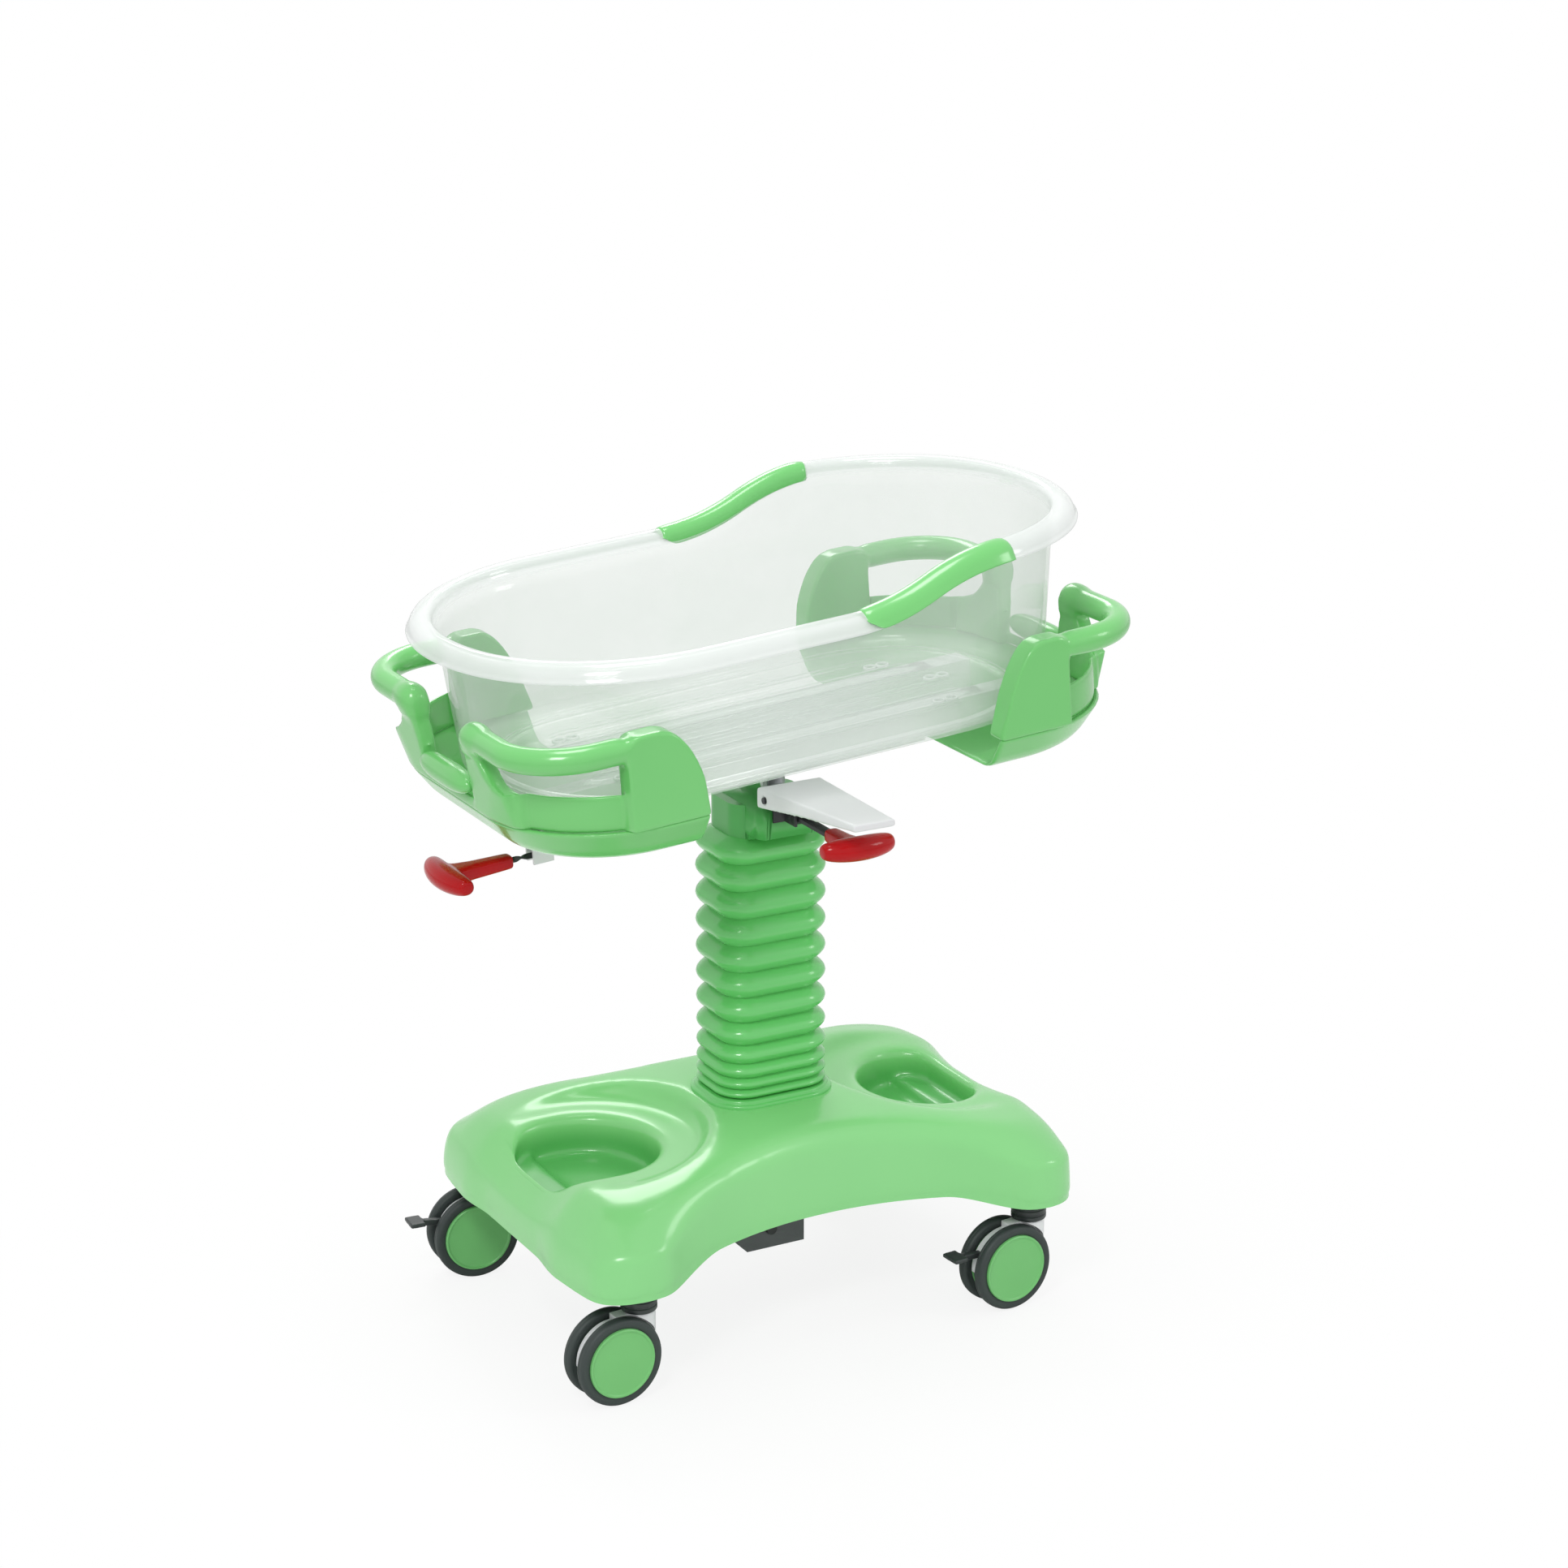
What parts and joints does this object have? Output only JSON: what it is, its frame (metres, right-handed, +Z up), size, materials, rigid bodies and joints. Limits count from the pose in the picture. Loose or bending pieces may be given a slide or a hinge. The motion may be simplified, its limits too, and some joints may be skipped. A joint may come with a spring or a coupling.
{
  "type": "hospital crib",
  "caption": "Hospital crib with a clear basin in two green end holders on a tilting frame, a telescopic column with a ribbed bellows, and a moulded base on castors.",
  "frame": {"origin": "on the floor on the column's axis, midway between the castor stems", "axes": "+X to the head end with the high rim, -Y to the side with the release levers, +Z up"},
  "size_m": [0.7702, 0.4985, 0.9166],
  "materials": {
    "green_shell": "gloss",
    "green_head": "gloss",
    "green_bellows": "gloss",
    "grey_frame_paint": "satin",
    "white_frame_paint": "satin",
    "steel": "satin",
    "black_plastic": "matte",
    "black_paint": "satin",
    "red_handle": "gloss",
    "white_paddle": "satin",
    "clear_tub": "gloss",
    "silver_hood": "satin",
    "dark_tyre": "matte",
    "green_disc": "gloss"
  },
  "bodies": {
    "base": {"base_cover": "green_shell", "chassis_frame": "grey_frame_paint", "castor_sockets": "grey_frame_paint", "column_mount_box": "grey_frame_paint", "mount_box_bolts": "steel", "column_outer_tube": "steel", "column_guide_bush": "black_plastic", "gas_spring_cylinder": "black_paint", "bellows_collar": "green_shell", "base_screws": "steel"},
    "lift": {"column_inner_tube": "steel", "gas_spring_rod": "steel", "column_head": "green_head", "bellows": "green_bellows", "tilt_pivot_pin": "steel", "lever_bracket": "black_paint", "lever_pins": "steel"},
    "cradle": {"tilt_frame": "white_frame_paint", "foot_tray": "green_shell", "head_tray": "green_shell", "foot_rail_frame": "green_shell", "head_rail_frame": "green_shell", "foot_end_roll": "green_shell", "head_end_roll": "green_shell", "tray_screws": "steel", "tilt_lever_bracket": "steel"},
    "basin": {"tub": "clear_tub", "front_rim_grip": "green_shell", "back_rim_grip": "green_shell"},
    "height_lever": {"height_handle_stem": "black_plastic", "height_handle": "red_handle"},
    "tilt_lever": {"tilt_handle_rod": "black_paint", "tilt_handle": "red_handle"},
    "paddle": {"release_paddle": "white_paddle"},
    "castor_fl_swivel": {"castor_fl_stem": "black_plastic", "castor_fl_hood": "silver_hood", "castor_fl_axle": "steel"},
    "castor_fl_wheels": {"castor_fl_tyres": "dark_tyre", "castor_fl_discs": "green_disc"},
    "castor_fr_swivel": {"castor_fr_stem": "black_plastic", "castor_fr_hood": "silver_hood", "castor_fr_axle": "steel"},
    "castor_fr_wheels": {"castor_fr_tyres": "dark_tyre", "castor_fr_discs": "green_disc"},
    "castor_bl_swivel": {"castor_bl_stem": "black_plastic", "castor_bl_hood": "silver_hood", "castor_bl_axle": "steel"},
    "castor_bl_wheels": {"castor_bl_tyres": "dark_tyre", "castor_bl_discs": "green_disc"},
    "castor_br_swivel": {"castor_br_stem": "black_plastic", "castor_br_hood": "silver_hood", "castor_br_axle": "steel"},
    "castor_br_wheels": {"castor_br_tyres": "dark_tyre", "castor_br_discs": "green_disc"},
    "pedal_fr": {"brake_pedal_fr": "black_plastic"},
    "pedal_bl": {"brake_pedal_bl": "black_plastic"}
  },
  "joints": [
    {"name": "height_lift", "type": "slide", "parent": "base", "child": "lift", "axis": [0, 0, 1], "range_m": [-0.11, 0.07], "deforming": ["bellows"]},
    {"name": "cradle_tilt", "type": "hinge", "parent": "lift", "child": "cradle", "pos_m": [0, 0, 0.612], "axis": [0, 1, 0], "range_deg": [-7.7, 16.3]},
    {"name": "tub_lift_out", "type": "slide", "parent": "cradle", "child": "basin", "axis": [-0.075, 0, 0.9972], "range_m": [0, 0.25]},
    {"name": "height_lever_lift", "type": "hinge", "parent": "lift", "child": "height_lever", "pos_m": [0, -0.09, 0.588], "axis": [1, 0, 0], "range_deg": [-4, 0], "stiffness_Nm_per_rad": 3, "springref_deg": 4.58},
    {"name": "paddle_lift", "type": "hinge", "parent": "lift", "child": "paddle", "pos_m": [0, -0.092, 0.614], "axis": [1, 0, 0], "range_deg": [-8, 0], "stiffness_Nm_per_rad": 3, "springref_deg": 4.58},
    {"name": "tilt_lever_lift", "type": "hinge", "parent": "cradle", "child": "tilt_lever", "pos_m": [-0.26914, 0, 0.56368], "axis": [0, 1, 0], "range_deg": [0, 6], "stiffness_Nm_per_rad": 3, "springref_deg": -4.58},
    {"name": "castor_fl_turn", "type": "hinge", "parent": "base", "child": "castor_fl_swivel", "pos_m": [-0.247, -0.181, 0.1], "axis": [0, 0, 1], "continuous": true},
    {"name": "castor_fl_roll", "type": "hinge", "parent": "castor_fl_swivel", "child": "castor_fl_wheels", "pos_m": [-0.27993, -0.18313, 0.05], "axis": [-0.0645, 0.9979, 0], "continuous": true},
    {"name": "castor_fr_turn", "type": "hinge", "parent": "base", "child": "castor_fr_swivel", "pos_m": [0.247, -0.181, 0.1], "axis": [0, 0, 1], "continuous": true},
    {"name": "castor_fr_roll", "type": "hinge", "parent": "castor_fr_swivel", "child": "castor_fr_wheels", "pos_m": [0.21412, -0.18382, 0.05], "axis": [-0.0854, 0.9963, 0], "continuous": true},
    {"name": "brake_fr_press", "type": "hinge", "parent": "castor_fr_swivel", "child": "pedal_fr", "pos_m": [0.18921, -0.18595, 0.068], "axis": [-0.0854, 0.9963, 0], "range_deg": [-12, 0]},
    {"name": "castor_bl_turn", "type": "hinge", "parent": "base", "child": "castor_bl_swivel", "pos_m": [-0.247, 0.181, 0.1], "axis": [0, 0, 1], "continuous": true},
    {"name": "castor_bl_roll", "type": "hinge", "parent": "castor_bl_swivel", "child": "castor_bl_wheels", "pos_m": [-0.27987, 0.18388, 0.05], "axis": [0.0872, 0.9962, 0], "continuous": true},
    {"name": "brake_bl_press", "type": "hinge", "parent": "castor_bl_swivel", "child": "pedal_bl", "pos_m": [-0.30478, 0.18605, 0.068], "axis": [0.0872, 0.9962, 0], "range_deg": [-12, 0]},
    {"name": "castor_br_turn", "type": "hinge", "parent": "base", "child": "castor_br_swivel", "pos_m": [0.247, 0.181, 0.1], "axis": [0, 0, 1], "continuous": true},
    {"name": "castor_br_roll", "type": "hinge", "parent": "castor_br_swivel", "child": "castor_br_wheels", "pos_m": [0.21441, 0.17584, 0.05], "axis": [-0.1564, 0.9877, 0], "continuous": true}
  ]
}
